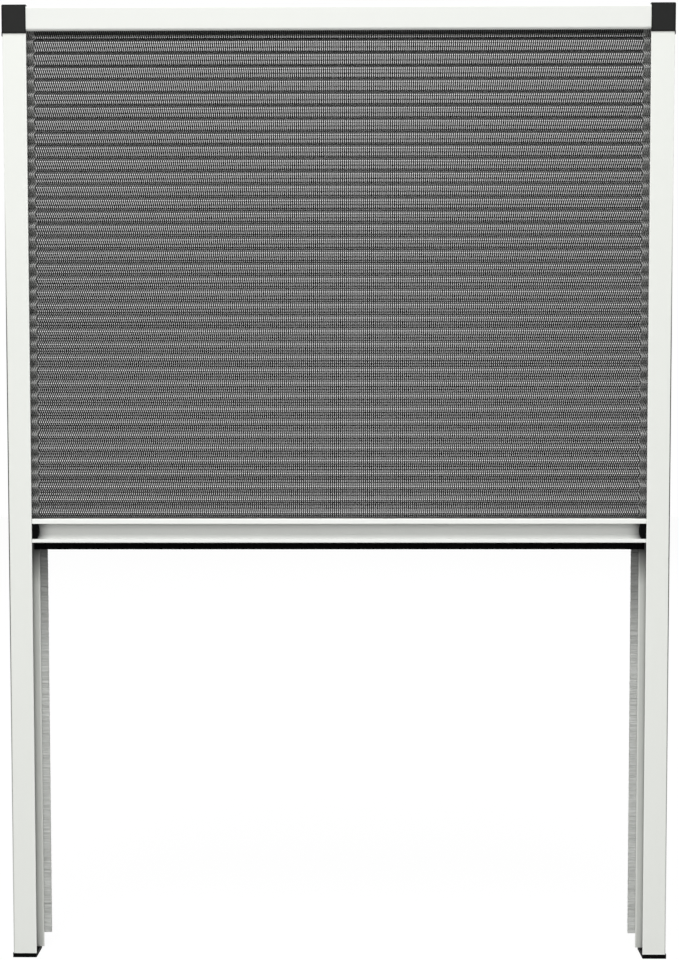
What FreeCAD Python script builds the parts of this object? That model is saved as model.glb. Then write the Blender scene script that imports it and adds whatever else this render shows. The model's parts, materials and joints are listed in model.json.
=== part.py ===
import FreeCAD, Part
import math
import os

V = FreeCAD.Vector

# A pleated insect screen for a window: two side rails hang from a top profile, and a pull bar
# slides up and down between them and draws a pleated mesh. The model stands with its origin under
# the middle of the frame, X across the window, Y into the window and Z up. Sizes are millimetres.

# Overall sizes
overall_width = 800.0
overall_height = 1152.0

# Side rail section, measured from its outer side and from its front
rail_face = 28.0
rail_depth = 34.0
rail_wall = 1.6
rail_web = 1.4
rail_chamber = 8.0
channel_depth = 22.5
rear_lip_reach = 4.7
rear_lip_bead = 1.1
rail_edge_radius = 0.8

# Screw ports in the rails and the screws that enter them
port_wall = 1.6
port_radius = 1.9
port_from_wall = 3.2
screw_clearance = 0.05
screw_grip = 16.0
screw_head_radius = 3.4
screw_head_height = 2.4
screw_seat_clearance = 0.4
screw_recess = 0.3
drive_radius = 1.6
drive_depth = 1.4

# Wall fixing holes in each rail
fixing_count = 3
fixing_hole_radius = 2.25
fixing_end_distance = 96.0

# Corner caps
cap_side_proud = 1.0
cap_front_proud = 0.8
cap_top_proud = 1.8
cap_height = 34.0
cap_edge_radius = 1.6
cap_skirt_drop = 3.0
cap_skirt_thickness = 0.8
cap_screw_bore = 16.0
cap_spigot_length = 30.0
cap_pocket_wall = 2.2
spigot_clearance = 0.15

# Feet
foot_height = 5.2
foot_spigot_length = 18.0
foot_edge_radius = 0.8

# Top profile
top_height = 29.0
top_wall = 1.6
top_edge_radius = 3.0
top_lip_depth = 3.4
top_lip_height = 4.0

# Slots that hold the clips and the brush backings
slot_lip = 1.3
slot_clearance = 0.2
clip_head_width = 6.6
clip_head_thickness = 1.6
clip_stem_width = 3.2
clip_stem_radius = 0.6
clip_slot_play = 0.1

# Pleated mesh
facet_length = 18.0
mesh_thickness = 0.4
mesh_in_rail = 5.0
mesh_rear_room = 2.8
clip_from_fold = 2.8
top_fold_rise = 10.9
drawn_stretch = 0.81

# Openings in the sheet that stand in for the see-through weave
weave_gap_width = 66.0
weave_strip_width = 50.0
weave_gap_pleats = 2
weave_strip_pleats = 4

# Pull bar section, measured from its underside and from its front
bar_height = 29.0
bar_rest_height = 510.1
bar_play = 0.6
bar_wall = 1.5
bar_in_rail = 5.0
bar_edge_radius = 1.0
upper_lip_height = 5.8
lower_lip_height = 4.6
grip_depth = 10.0
grip_ramp_height = 4.5
grip_sweep_reach = 6.2
grip_sweep_rise = 1.35
clip_groove_depth = 8.0
bar_port_radius = 1.6
bar_port_wall = 2.7

# Pull bar ends
end_plate_thickness = 2.0
grip_plug_length = 12.2
grip_plug_bulge = 2.0
grip_plug_setback = 0.4
grip_plug_clearance = 0.1
glider_side_play = 0.6
glider_rail_play = 0.4
glider_base = 1.0
glider_rise = 6.0
glider_corner_radius = 3.0
glider_screw_grip = 14.0
brake_pad_size = 10.0
brake_pad_thickness = 1.6
brake_pad_gap = 0.2
brake_pad_drop = 3.0

# Seal brush under the pull bar
seal_drop = 9.0
seal_pile_thickness = 3.4
seal_end_gap = 0.3
closing_gap = 0.1

# Side brushes behind the rail channels, from near the feet up to behind the bar
side_pile_thickness = 3.4
side_pile_reach = 13.6
side_pile_bottom = 22.0
side_pile_behind_bar = 20.0
backing_thickness = 1.4

# Places that follow from the sizes above
overall_depth = rail_depth + cap_front_proud
front_y = -overall_depth / 2 + cap_front_proud
rear_y = overall_depth / 2
rail_outer_x = overall_width / 2 - cap_side_proud
rail_inner_x = rail_outer_x - rail_face
channel_front_y = front_y + rail_wall
channel_rear_y = channel_front_y + channel_depth
rail_rear_chamber_y = channel_rear_y + rail_wall
rail_rear_inner_y = rear_y - rail_wall
channel_floor_u = rail_wall + rail_chamber + rail_web
rail_bottom = foot_height
rail_top = overall_height - cap_height
top_ceiling = overall_height - cap_top_proud
top_bottom = top_ceiling - top_height

bar_top = bar_rest_height + bar_height
bar_front_y = channel_front_y + bar_play
bar_rear_y = channel_rear_y - bar_play
bar_end_x = rail_inner_x + bar_in_rail
clip_y = channel_rear_y - mesh_rear_room - clip_from_fold
lowest_bar_top = bar_height + seal_drop + closing_gap

far_fold_y = channel_rear_y - mesh_rear_room
lowest_fold = bar_top
highest_fold = top_bottom + top_fold_rise
drawn_height = highest_fold - lowest_bar_top
pleat_count = math.ceil(drawn_height / (2 * facet_length * drawn_stretch))
pleat_pitch = (highest_fold - lowest_fold) / pleat_count
pleat_depth = math.sqrt(facet_length ** 2 - (pleat_pitch / 2) ** 2)
near_fold_y = far_fold_y - pleat_depth
fold_slope = pleat_pitch / 2 / pleat_depth
mesh_half_run = mesh_thickness / 2 * facet_length / (pleat_pitch / 2)
mesh_bottom = lowest_fold + clip_from_fold * fold_slope
mesh_top = highest_fold + clip_from_fold * fold_slope
mesh_half_width = rail_inner_x + mesh_in_rail

# Screw ports and spigots sit at these places in the rail section
port_u = rail_wall + rail_chamber / 2
front_port_y = channel_front_y + port_from_wall
rear_port_y = channel_rear_y - port_from_wall
port_outer_radius = port_radius + port_wall
fixing_y = (channel_front_y + channel_rear_y) / 2


def on_floor(u, v):
    """Place section coordinates in the XY plane."""
    return V(u, v, 0)


def on_side(u, v):
    """Place section coordinates in the YZ plane."""
    return V(0, u, v)


def rounded_corner(before, corner, after):
    """Return the start, middle and end of a corner's arc, or the corner alone."""
    point = V(corner[0], corner[1], 0)
    radius = corner[2] if len(corner) > 2 else 0
    if radius <= 0:
        return [point]
    back = (V(before[0], before[1], 0) - point).normalize()
    ahead = (V(after[0], after[1], 0) - point).normalize()
    half_angle = back.getAngle(ahead) / 2
    inward = (back + ahead).normalize()
    reach = radius / math.tan(half_angle)
    centre = point + inward * (radius / math.sin(half_angle))
    return [point + back * reach, centre - inward * radius, point + ahead * reach]


def outline(corners, place):
    """Make a face from corners (u, v) or (u, v, radius) in the given plane."""
    count = len(corners)
    rounded = [rounded_corner(corners[i - 1], corners[i], corners[(i + 1) % count])
               for i in range(count)]
    edges = []
    for i in range(count):
        here = [place(p.x, p.y) for p in rounded[i]]
        following = rounded[(i + 1) % count][0]
        following = place(following.x, following.y)
        if len(here) == 3:
            edges.append(Part.Arc(*here).toShape())
        if here[-1].distanceToPoint(following) > 1e-6:
            edges.append(Part.LineSegment(here[-1], following).toShape())
    return Part.Face(Part.Wire(edges))


def rectangle(u0, u1, v0, v1, place, radius=0.0):
    """Make a rectangular face between the given limits."""
    return outline([(u0, v0, radius), (u1, v0, radius), (u1, v1, radius), (u0, v1, radius)], place)


def disc(u, v, radius, place, normal):
    """Make a round face."""
    return Part.Face(Part.Wire(Part.makeCircle(radius, place(u, v), normal)))


def extrusion(section, start, travel):
    """Sweep a section straight along travel, from a start offset."""
    solid = section.removeSplitter().extrude(travel)
    solid.translate(start)
    return solid


def block(x0, x1, y0, y1, z0, z1):
    """Make a box from its limits in any order."""
    low = V(min(x0, x1), min(y0, y1), min(z0, z1))
    return Part.makeBox(abs(x1 - x0), abs(y1 - y0), abs(z1 - z0), low)


def mirrored(shape):
    """Return the opposite hand of a left-hand piece."""
    return shape.mirror(V(0, 0, 0), V(1, 0, 0))


def rail_x(u):
    """Turn a distance from the left rail's outer side into X."""
    return u - rail_outer_x


def slot_sizes(head_width, head_thickness, stem_width):
    """Return a slot's cavity width, cavity depth and mouth width around a T-shaped piece."""
    return (head_width + 2 * slot_clearance, head_thickness + slot_clearance, stem_width + 2 * slot_clearance)


# Side rails

brush_cavity_width = rail_rear_inner_y - rail_rear_chamber_y
brush_cavity_start = rail_face - slot_lip - backing_thickness - slot_clearance
brush_y = (rail_rear_inner_y + rail_rear_chamber_y) / 2
rear_chamber_end = brush_cavity_start - rail_web


def rail_section():
    """The rail: a closed chamber, the open channel, a rear lip and the brush slot behind it."""
    body = outline([
        (0, front_y, rail_edge_radius), (rail_face, front_y, rail_edge_radius),
        (rail_face, rear_y, rail_edge_radius), (0, rear_y, rail_edge_radius)], on_floor)
    lip = rectangle(rail_face - rail_wall, rail_face + rear_lip_reach - rear_lip_bead,
                    channel_rear_y, rail_rear_chamber_y, on_floor)
    bead = disc(rail_face + rear_lip_reach - rear_lip_bead, channel_rear_y + rear_lip_bead,
                rear_lip_bead, on_floor, V(0, 0, 1))
    ports = [disc(port_u, y, port_outer_radius, on_floor, V(0, 0, 1)) for y in (front_port_y, rear_port_y)]
    port_holes = [disc(port_u, y, port_radius, on_floor, V(0, 0, 1)) for y in (front_port_y, rear_port_y)]
    chamber = rectangle(rail_wall, rail_wall + rail_chamber, channel_front_y, channel_rear_y, on_floor)
    channel = rectangle(channel_floor_u, rail_face + rail_wall, channel_front_y, channel_rear_y, on_floor)
    rear_chamber = rectangle(rail_wall, rear_chamber_end, rail_rear_chamber_y, rail_rear_inner_y, on_floor)
    cavity = rectangle(brush_cavity_start, rail_face - slot_lip, rail_rear_chamber_y, rail_rear_inner_y, on_floor)
    mouth_half = side_pile_thickness / 2 + slot_clearance
    mouth = rectangle(rail_face - slot_lip - slot_clearance, rail_face + rail_wall,
                      brush_y - mouth_half, brush_y + mouth_half, on_floor)
    hollow = chamber.cut(ports).fuse(port_holes)
    return body.fuse([lip, bead]).cut([hollow, channel, rear_chamber, cavity, mouth])


def fixing_heights():
    """Heights of the wall fixing holes, evenly spaced between the end distances."""
    low = rail_bottom + fixing_end_distance
    high = rail_top - fixing_end_distance
    return [low + (high - low) * i / (fixing_count - 1) for i in range(fixing_count)]


def left_rail():
    """The left rail with its fixing holes through the chamber."""
    rail = extrusion(rail_section(), V(-rail_outer_x, 0, rail_bottom), V(0, 0, rail_top - rail_bottom))
    length = channel_floor_u + 2 * rail_wall
    holes = [Part.makeCylinder(fixing_hole_radius, length, V(rail_x(-rail_wall), fixing_y, z), V(1, 0, 0))
             for z in fixing_heights()]
    return rail.cut(holes)


def chamber_spigot(length, start_z):
    """A spigot that fills the rail's chamber between the two ports."""
    half = (rear_port_y - front_port_y) / 2 - port_outer_radius - spigot_clearance
    return block(rail_x(rail_wall + spigot_clearance), rail_x(rail_wall + rail_chamber - spigot_clearance),
                 fixing_y - half, fixing_y + half, start_z, start_z + length)


def rear_spigot(length, start_z):
    """A spigot that fills the rail's rear chamber."""
    return block(rail_x(rail_wall + spigot_clearance), rail_x(rear_chamber_end - spigot_clearance),
                 rail_rear_chamber_y + spigot_clearance, rail_rear_inner_y - spigot_clearance,
                 start_z, start_z + length)


# Corner caps and feet

def cap_body():
    """The cap's outer block with its visible edges rounded and a thin skirt over the rail."""
    left_x = -overall_width / 2
    right_x = rail_x(rail_face)
    body = block(left_x, right_x, -overall_depth / 2, rear_y, rail_top, overall_height)
    outer_edges = [e for e in body.Edges
                   if e.CenterOfMass.y < rear_y - 1e-3
                   and (e.CenterOfMass.x < left_x + 1e-3 or e.CenterOfMass.y < -overall_depth / 2 + 1e-3
                        or e.CenterOfMass.z > overall_height - 1e-3)
                   and e.CenterOfMass.z > rail_top + 1e-3 and e.CenterOfMass.x < right_x - 1e-3]
    body = body.makeFillet(cap_edge_radius, outer_edges)
    skirt = block(left_x, left_x + cap_skirt_thickness, front_y, rear_y - cap_edge_radius,
                  rail_top - cap_skirt_drop, rail_top + cap_edge_radius)
    return body.fuse(skirt)


def cap_pockets():
    """Core-outs in the cap's rear face, either side of a rib, clear of the screw bores."""
    left_x = rail_x(2 * port_u + cap_pocket_wall)
    right_x = rail_x(rail_face - cap_pocket_wall)
    low = rail_top + cap_pocket_wall
    high = overall_height - cap_pocket_wall
    middle = (low + high) / 2
    limits = ((low, middle - cap_pocket_wall / 2), (middle + cap_pocket_wall / 2, high))
    front = channel_rear_y + cap_pocket_wall
    return [block(left_x, right_x, front, rear_y + 1, z0, z1) for z0, z1 in limits]


def cap_channel():
    """The rail's channel carried on into the cap, where it meets the pocket of the top profile."""
    return block(rail_x(channel_floor_u), rail_x(rail_face) + 1, channel_front_y, channel_rear_y,
                 rail_top - 1, top_ceiling - top_wall)


def top_spigot():
    """A spigot that enters the rear chamber of the top profile."""
    start = rail_x(rail_face)
    return block(start, start + cap_spigot_length,
                 rail_rear_chamber_y + spigot_clearance, rear_y - top_wall - spigot_clearance,
                 top_bottom + top_wall + spigot_clearance, top_ceiling - top_wall - spigot_clearance)


def screw_places():
    """The two screw axes of the left rail."""
    return [(rail_x(port_u), y) for y in (front_port_y, rear_port_y)]


def left_corner_cap():
    """The left corner cap with spigots into the rail and the top profile."""
    cap = cap_body().cut(cap_pockets() + [cap_channel()])
    cap = cap.fuse([chamber_spigot(-cap_spigot_length, rail_top), rear_spigot(-cap_spigot_length, rail_top),
                    top_spigot()])
    bores = []
    for x, y in screw_places():
        bores.append(Part.makeCylinder(port_radius + screw_seat_clearance, cap_height + 1, V(x, y, rail_top - 1)))
        bores.append(Part.makeCylinder(screw_head_radius + screw_seat_clearance, cap_screw_bore + 1,
                                       V(x, y, overall_height - cap_screw_bore)))
    return cap.cut(bores)


def screw(seat, way, hole_radius, length):
    """A cheese-head screw with a hexagon socket, its head on the seat and its shank along way."""
    shank = Part.makeCylinder(hole_radius - screw_clearance, length, seat, way)
    head = Part.makeCylinder(screw_head_radius, screw_head_height, seat, way * -1)
    side = V(0, 1, 0)
    up = way.cross(side)
    top = seat - way * screw_head_height
    angles = [math.radians(60 * i) for i in range(7)]
    socket = Part.makePolygon([top + side * (drive_radius * math.cos(a)) + up * (drive_radius * math.sin(a))
                               for a in angles])
    return shank.fuse(head).cut(Part.Face(socket).extrude(way * drive_depth))


def left_cap_screws():
    """The screws that hold the cap down on the rail."""
    seat = overall_height - cap_screw_bore
    length = seat - rail_top + screw_grip
    return Part.Compound([screw(V(x, y, seat), V(0, 0, -1), port_radius, length) for x, y in screw_places()])


def left_foot():
    """The foot plate that closes the rail, with two spigots up into its chambers."""
    plate = block(-overall_width / 2, rail_x(rail_face), front_y, rear_y, 0, foot_height)
    upright = [e for e in plate.Edges if e.BoundBox.ZLength > foot_height / 2]
    plate = plate.makeFillet(foot_edge_radius, upright)
    foot = plate.fuse([chamber_spigot(foot_spigot_length, foot_height), rear_spigot(foot_spigot_length, foot_height)])
    x, y = screw_places()[-1]
    bore = Part.makeCylinder(port_radius + screw_seat_clearance, foot_height + 2, V(x, y, -1))
    head_seat = Part.makeCylinder(screw_head_radius + screw_seat_clearance,
                                  screw_head_height + screw_recess + 1, V(x, y, -1))
    return foot.cut([bore, head_seat])


def left_foot_screw():
    """The screw that holds the foot under the rail, in the rear port."""
    seat = screw_head_height + screw_recess
    length = foot_height - seat + screw_grip
    x, y = screw_places()[-1]
    return screw(V(x, y, seat), V(0, 0, 1), port_radius, length)


# Top profile and mesh clips

clip_cavity_width, clip_cavity_depth, clip_mouth = slot_sizes(clip_head_width, clip_head_thickness, clip_stem_width)


def top_section():
    """The top profile: a pocket for the folded mesh, a clip slot and a closed rear chamber."""
    ceiling = top_ceiling - top_wall
    body = outline([
        (front_y, top_bottom, top_edge_radius), (rear_y, top_bottom, rail_edge_radius),
        (rear_y, top_ceiling, rail_edge_radius), (front_y, top_ceiling, top_edge_radius)], on_side)
    pocket = outline([
        (channel_front_y, top_bottom + top_lip_height + top_lip_depth - rail_wall),
        (front_y + top_lip_depth, top_bottom + top_lip_height),
        (front_y + top_lip_depth, top_bottom - 1), (channel_rear_y, top_bottom - 1),
        (channel_rear_y, ceiling), (channel_front_y, ceiling, top_edge_radius - top_wall)], on_side)
    chamber = rectangle(rail_rear_chamber_y, rear_y - top_wall, top_bottom + top_wall, ceiling, on_side)
    outer_half = clip_cavity_width / 2 + slot_lip
    rib_low = ceiling - clip_cavity_depth - slot_lip
    ribs = rectangle(clip_y - outer_half, clip_y + outer_half, rib_low, ceiling, on_side)
    cavity = rectangle(clip_y - clip_cavity_width / 2, clip_y + clip_cavity_width / 2,
                       ceiling - clip_cavity_depth, ceiling, on_side)
    mouth = rectangle(clip_y - clip_mouth / 2, clip_y + clip_mouth / 2, rib_low - 1, ceiling, on_side)
    return body.cut([pocket.cut(ribs), chamber, cavity, mouth])


def top_profile():
    """The top profile between the corner caps."""
    return extrusion(top_section(), V(-rail_inner_x, 0, 0), V(2 * rail_inner_x, 0, 0))


def clip(head_z, mesh_z):
    """A T-shaped clip strip from its slot to the end of the mesh."""
    way = 1 if mesh_z > head_z else -1
    neck_z = head_z + way * clip_head_thickness
    half_head = clip_head_width / 2
    half_stem = clip_stem_width / 2
    section = outline([
        (clip_y - half_head, head_z), (clip_y + half_head, head_z), (clip_y + half_head, neck_z),
        (clip_y + half_stem, neck_z), (clip_y + half_stem, mesh_z, clip_stem_radius),
        (clip_y - half_stem, mesh_z, clip_stem_radius), (clip_y - half_stem, neck_z),
        (clip_y - half_head, neck_z)], on_side)
    return extrusion(section, V(-mesh_half_width, 0, 0), V(2 * mesh_half_width, 0, 0))


def mesh_top_clip():
    """The clip in the top profile."""
    return clip(top_ceiling - top_wall - clip_slot_play, mesh_top)


def mesh_bottom_clip():
    """The clip in the pull bar's groove."""
    return clip(bar_top - clip_groove_depth + clip_slot_play, mesh_bottom)


# Pleated mesh

def copies(room, gap, strip):
    """How many gaps fit side by side in the room, with a strip beside each."""
    return math.floor((room - strip) / (gap + strip))


def weave_openings():
    """A plain grid of openings through the folded sheet, each across whole pleats."""
    pitch_x = weave_gap_width + weave_strip_width
    columns = copies(2 * mesh_half_width, weave_gap_width, weave_strip_width)
    first_x = -(columns * pitch_x - weave_strip_width) / 2
    row_pleats = weave_gap_pleats + weave_strip_pleats
    rows = copies(pleat_count, weave_gap_pleats, weave_strip_pleats)
    first_pleat = (pleat_count - rows * row_pleats + weave_strip_pleats) / 2 + 0.25
    front = near_fold_y - 2 * mesh_half_run
    rear = far_fold_y + 2 * mesh_half_run
    openings = []
    for column in range(columns):
        x = first_x + column * pitch_x
        for row in range(rows):
            z = lowest_fold + (first_pleat + row * row_pleats) * pleat_pitch
            openings.append(block(x, x + weave_gap_width, front, rear, z, z + weave_gap_pleats * pleat_pitch))
    return openings


def pleated_mesh():
    """The mesh as one folded sheet, from the bottom clip to the top clip."""
    path = [(clip_y, mesh_bottom)]
    for i in range(pleat_count):
        low_fold = lowest_fold + i * pleat_pitch
        path.append((near_fold_y, low_fold + pleat_pitch / 2))
        path.append((far_fold_y, low_fold + pleat_pitch))
    path.append((clip_y, mesh_top))
    front = [(y - mesh_half_run, z) for y, z in path]
    rear = [(y + mesh_half_run, z) for y, z in reversed(path)]
    section = outline(front + rear, on_side)
    sheet = extrusion(section, V(-mesh_half_width, 0, 0), V(2 * mesh_half_width, 0, 0))
    return sheet.cut(weave_openings())


# Pull bar

grip_rear_y = bar_front_y + grip_depth
grip_low = bar_rest_height + lower_lip_height
grip_high = bar_top - upper_lip_height
bar_chamber_front = grip_rear_y + bar_wall
bar_chamber_rear = bar_rear_y - bar_wall
groove_floor = bar_top - clip_groove_depth
bar_port_y = (bar_chamber_front + bar_chamber_rear) / 2
seal_y = (bar_front_y + bar_rear_y) / 2
seal_cavity_width, seal_cavity_depth, seal_mouth = slot_sizes(
    clip_head_width, backing_thickness, seal_pile_thickness)
bar_chamber_low = bar_rest_height + slot_lip + seal_cavity_depth + bar_wall
bar_chamber_high = groove_floor - bar_wall
bar_port_z = (bar_chamber_low + bar_chamber_high) / 2


def grip_section(play=0.0):
    """The finger grip less a play: a straight back that sweeps forward over the lower lip."""
    low = grip_low + play
    high = grip_high - play
    rear = grip_rear_y - play
    front = bar_front_y - 1
    sweep = V(0, bar_front_y + grip_sweep_reach - play, low + grip_sweep_rise)
    arc = Part.Arc(V(0, bar_front_y, low), sweep, V(0, rear, low + grip_ramp_height)).toShape()
    points = [V(0, rear, low + grip_ramp_height), V(0, rear, high), V(0, front, high),
              V(0, front, low), V(0, bar_front_y, low)]
    lines = [Part.LineSegment(points[i], points[i + 1]).toShape() for i in range(len(points) - 1)]
    return Part.Face(Part.Wire([arc] + lines))


def bar_section():
    """The pull bar: the grip in front, a closed chamber with a screw port, and two slots."""
    body = rectangle(bar_front_y, bar_rear_y, bar_rest_height, bar_top, on_side, bar_edge_radius)
    upper_chamber = rectangle(bar_front_y + bar_wall, clip_y - clip_cavity_width / 2 - bar_wall,
                              grip_high + bar_wall, bar_top - bar_wall, on_side)
    rear_chamber = rectangle(bar_chamber_front, bar_chamber_rear, bar_chamber_low, bar_chamber_high, on_side)
    port = disc(bar_port_y, bar_port_z, bar_port_radius + bar_port_wall, on_side, V(1, 0, 0))
    port_hole = disc(bar_port_y, bar_port_z, bar_port_radius, on_side, V(1, 0, 0))
    groove = rectangle(clip_y - clip_cavity_width / 2, clip_y + clip_cavity_width / 2,
                       groove_floor, bar_top - slot_lip, on_side)
    groove_mouth = rectangle(clip_y - clip_mouth / 2, clip_y + clip_mouth / 2,
                             bar_top - slot_lip - 1, bar_top + 1, on_side)
    slot_low = bar_rest_height + slot_lip
    seal_slot = rectangle(seal_y - seal_cavity_width / 2, seal_y + seal_cavity_width / 2,
                          slot_low, slot_low + seal_cavity_depth, on_side)
    seal_gap = rectangle(seal_y - seal_mouth / 2, seal_y + seal_mouth / 2,
                         bar_rest_height - 1, slot_low + 1, on_side)
    return body.cut([grip_section(), upper_chamber, rear_chamber.cut(port).fuse(port_hole),
                     groove, groove_mouth, seal_slot, seal_gap])


def pull_bar():
    """The pull bar's profile, whose ends run inside the rail channels."""
    return extrusion(bar_section(), V(-bar_end_x, 0, 0), V(2 * bar_end_x, 0, 0))


def grip_plug():
    """The plug that fills the end of the finger grip, with a convex inner end."""
    filling = extrusion(grip_section(grip_plug_clearance), V(-bar_end_x, 0, 0), V(grip_plug_length, 0, 0))
    tip_x = -bar_end_x + grip_plug_length
    base_x = tip_x - grip_plug_bulge
    front = bar_front_y + grip_plug_setback
    arc = Part.Arc(V(base_x, front, grip_low), V(tip_x, front, (grip_low + grip_high) / 2),
                   V(base_x, front, grip_high)).toShape()
    corners = [V(base_x, front, grip_high), V(-bar_end_x, front, grip_high), V(-bar_end_x, front, grip_low),
               V(base_x, front, grip_low)]
    lines = [Part.LineSegment(corners[i], corners[i + 1]).toShape() for i in range(len(corners) - 1)]
    convex = Part.Face(Part.Wire([arc] + lines)).extrude(V(0, grip_depth, 0))
    return filling.common(convex)


def left_end_cap():
    """The end plate of the pull bar, with the plug that closes the end of its grip."""
    plate = extrusion(rectangle(bar_front_y, bar_rear_y, bar_rest_height, bar_top, on_side, bar_edge_radius),
                      V(-bar_end_x - end_plate_thickness, 0, 0), V(end_plate_thickness, 0, 0))
    hole = Part.makeCylinder(bar_port_radius + screw_seat_clearance, 2 * end_plate_thickness,
                             V(-bar_end_x - 1.5 * end_plate_thickness, bar_port_y, bar_port_z), V(1, 0, 0))
    return plate.fuse(grip_plug()).cut(hole)


glider_inner_x = -bar_end_x - end_plate_thickness
glider_outer_x = rail_x(channel_floor_u) + glider_rail_play
glider_low = bar_rest_height + glider_base
glider_high = bar_top + glider_rise
glider_front_y = channel_front_y + glider_side_play
glider_rear_y = channel_rear_y - glider_side_play
pad_high = glider_high - brake_pad_drop
pad_low = pad_high - brake_pad_size
pad_x = (glider_inner_x + glider_outer_x) / 2
pad_half = (glider_inner_x - glider_outer_x) / 2 - bar_wall
pad_rear_y = channel_rear_y - brake_pad_gap


def left_glider():
    """The block that guides the bar's end in the rail channel, with a pocket for its brake pad."""
    body = extrusion(rectangle(glider_front_y, glider_rear_y, glider_low, glider_high, on_side,
                               glider_corner_radius),
                     V(glider_outer_x, 0, 0), V(glider_inner_x - glider_outer_x, 0, 0))
    pocket = block(pad_x - pad_half - slot_clearance, pad_x + pad_half + slot_clearance,
                   pad_rear_y - brake_pad_thickness, glider_rear_y + 1,
                   pad_low - slot_clearance, pad_high + slot_clearance)
    hole = Part.makeCylinder(bar_port_radius + screw_seat_clearance, glider_inner_x - glider_outer_x + 2,
                             V(glider_outer_x - 1, bar_port_y, bar_port_z), V(1, 0, 0))
    head_seat = Part.makeCylinder(screw_head_radius + screw_seat_clearance,
                                  screw_head_height + screw_recess + 1,
                                  V(glider_outer_x - 1, bar_port_y, bar_port_z), V(1, 0, 0))
    relief_low = glider_low + glider_corner_radius
    relief = block(glider_outer_x - 1, glider_inner_x - bar_wall, glider_front_y + bar_wall,
                   bar_port_y - screw_head_radius - screw_seat_clearance - bar_wall, relief_low,
                   glider_high - glider_corner_radius)
    return body.cut([pocket, hole, head_seat, relief])


def left_brake_pad():
    """The felt pad that rubs on the rear of the channel and holds the bar where it is left."""
    return block(pad_x - pad_half, pad_x + pad_half, pad_rear_y - brake_pad_thickness, pad_rear_y,
                 pad_low, pad_high)


def left_glider_screw():
    """The screw through the glider and the end plate into the bar's port."""
    seat_x = glider_outer_x + screw_head_height + screw_recess
    length = -bar_end_x - seat_x + glider_screw_grip
    return screw(V(seat_x, bar_port_y, bar_port_z), V(1, 0, 0), bar_port_radius, length)


# Seal under the bar and brushes on the rails

seal_half_length = rail_inner_x - seal_end_gap
seal_backing_low = bar_rest_height + slot_lip + slot_clearance / 2


def seal_backing():
    """The strip that carries the seal's pile in the slot under the bar."""
    section = rectangle(seal_y - clip_head_width / 2, seal_y + clip_head_width / 2,
                        seal_backing_low, seal_backing_low + backing_thickness, on_side)
    return extrusion(section, V(-seal_half_length, 0, 0), V(2 * seal_half_length, 0, 0))


def seal_pile():
    """The pile of the seal, from its backing down past the bar."""
    section = rectangle(seal_y - seal_pile_thickness / 2, seal_y + seal_pile_thickness / 2,
                        bar_rest_height - seal_drop, seal_backing_low, on_side)
    return extrusion(section, V(-seal_half_length, 0, 0), V(2 * seal_half_length, 0, 0))


brush_backing_x = brush_cavity_start + slot_clearance / 2
brush_low = side_pile_bottom
brush_high = bar_rest_height + side_pile_behind_bar


def left_brush_backing():
    """The strip that carries the side brush in the rail's rear slot."""
    half = brush_cavity_width / 2 - slot_clearance
    return block(rail_x(brush_backing_x), rail_x(brush_backing_x + backing_thickness),
                 brush_y - half, brush_y + half, brush_low, brush_high)


def left_side_brush():
    """The pile that stands out of the rail towards the window opening."""
    half = side_pile_thickness / 2
    return block(rail_x(brush_backing_x + backing_thickness), rail_x(rail_face + side_pile_reach),
                 brush_y - half, brush_y + half, brush_low, brush_high)


# Every node and its shape

def pair(name, shape):
    """Name a left-hand piece and its mirrored twin."""
    return {"left_" + name: shape, "right_" + name: mirrored(shape)}


def all_nodes():
    """Build every sub-part, keyed by its node name."""
    nodes = {
        "top_profile": top_profile(),
        "mesh_top_clip": mesh_top_clip(),
        "mesh_bottom_clip": mesh_bottom_clip(),
        "pleated_mesh": pleated_mesh(),
        "pull_bar": pull_bar(),
        "seal_backing": seal_backing(),
        "seal_pile": seal_pile(),
    }
    left_hand = {
        "rail": left_rail(),
        "corner_cap": left_corner_cap(),
        "cap_screws": left_cap_screws(),
        "foot": left_foot(),
        "foot_screw": left_foot_screw(),
        "brush_backing": left_brush_backing(),
        "side_brush": left_side_brush(),
        "end_cap": left_end_cap(),
        "glider": left_glider(),
        "brake_pad": left_brake_pad(),
        "glider_screw": left_glider_screw(),
    }
    for name, shape in left_hand.items():
        nodes.update(pair(name, shape))
    return nodes


os.makedirs("parts", exist_ok=True)
for node, shape in all_nodes().items():
    shape.exportStep("parts/" + node + ".step")
    bounds = shape.BoundBox
    print(f"{node}: {len(shape.Solids)} solid, {shape.Volume / 1000:.2f} cm3,"
          f" x {bounds.XMin:.1f}..{bounds.XMax:.1f}, y {bounds.YMin:.1f}..{bounds.YMax:.1f},"
          f" z {bounds.ZMin:.1f}..{bounds.ZMax:.1f}, valid {shape.isValid()}")
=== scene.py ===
"""Dress the pleated window screen: its woven net, brush piles and coated profiles, in a pale studio."""
import json
import logging
import math
from dataclasses import dataclass, field
from enum import Enum
from typing import Any, ClassVar, Mapping, Optional, Sequence, Union

import bpy
from mathutils import Matrix, Vector


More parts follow.
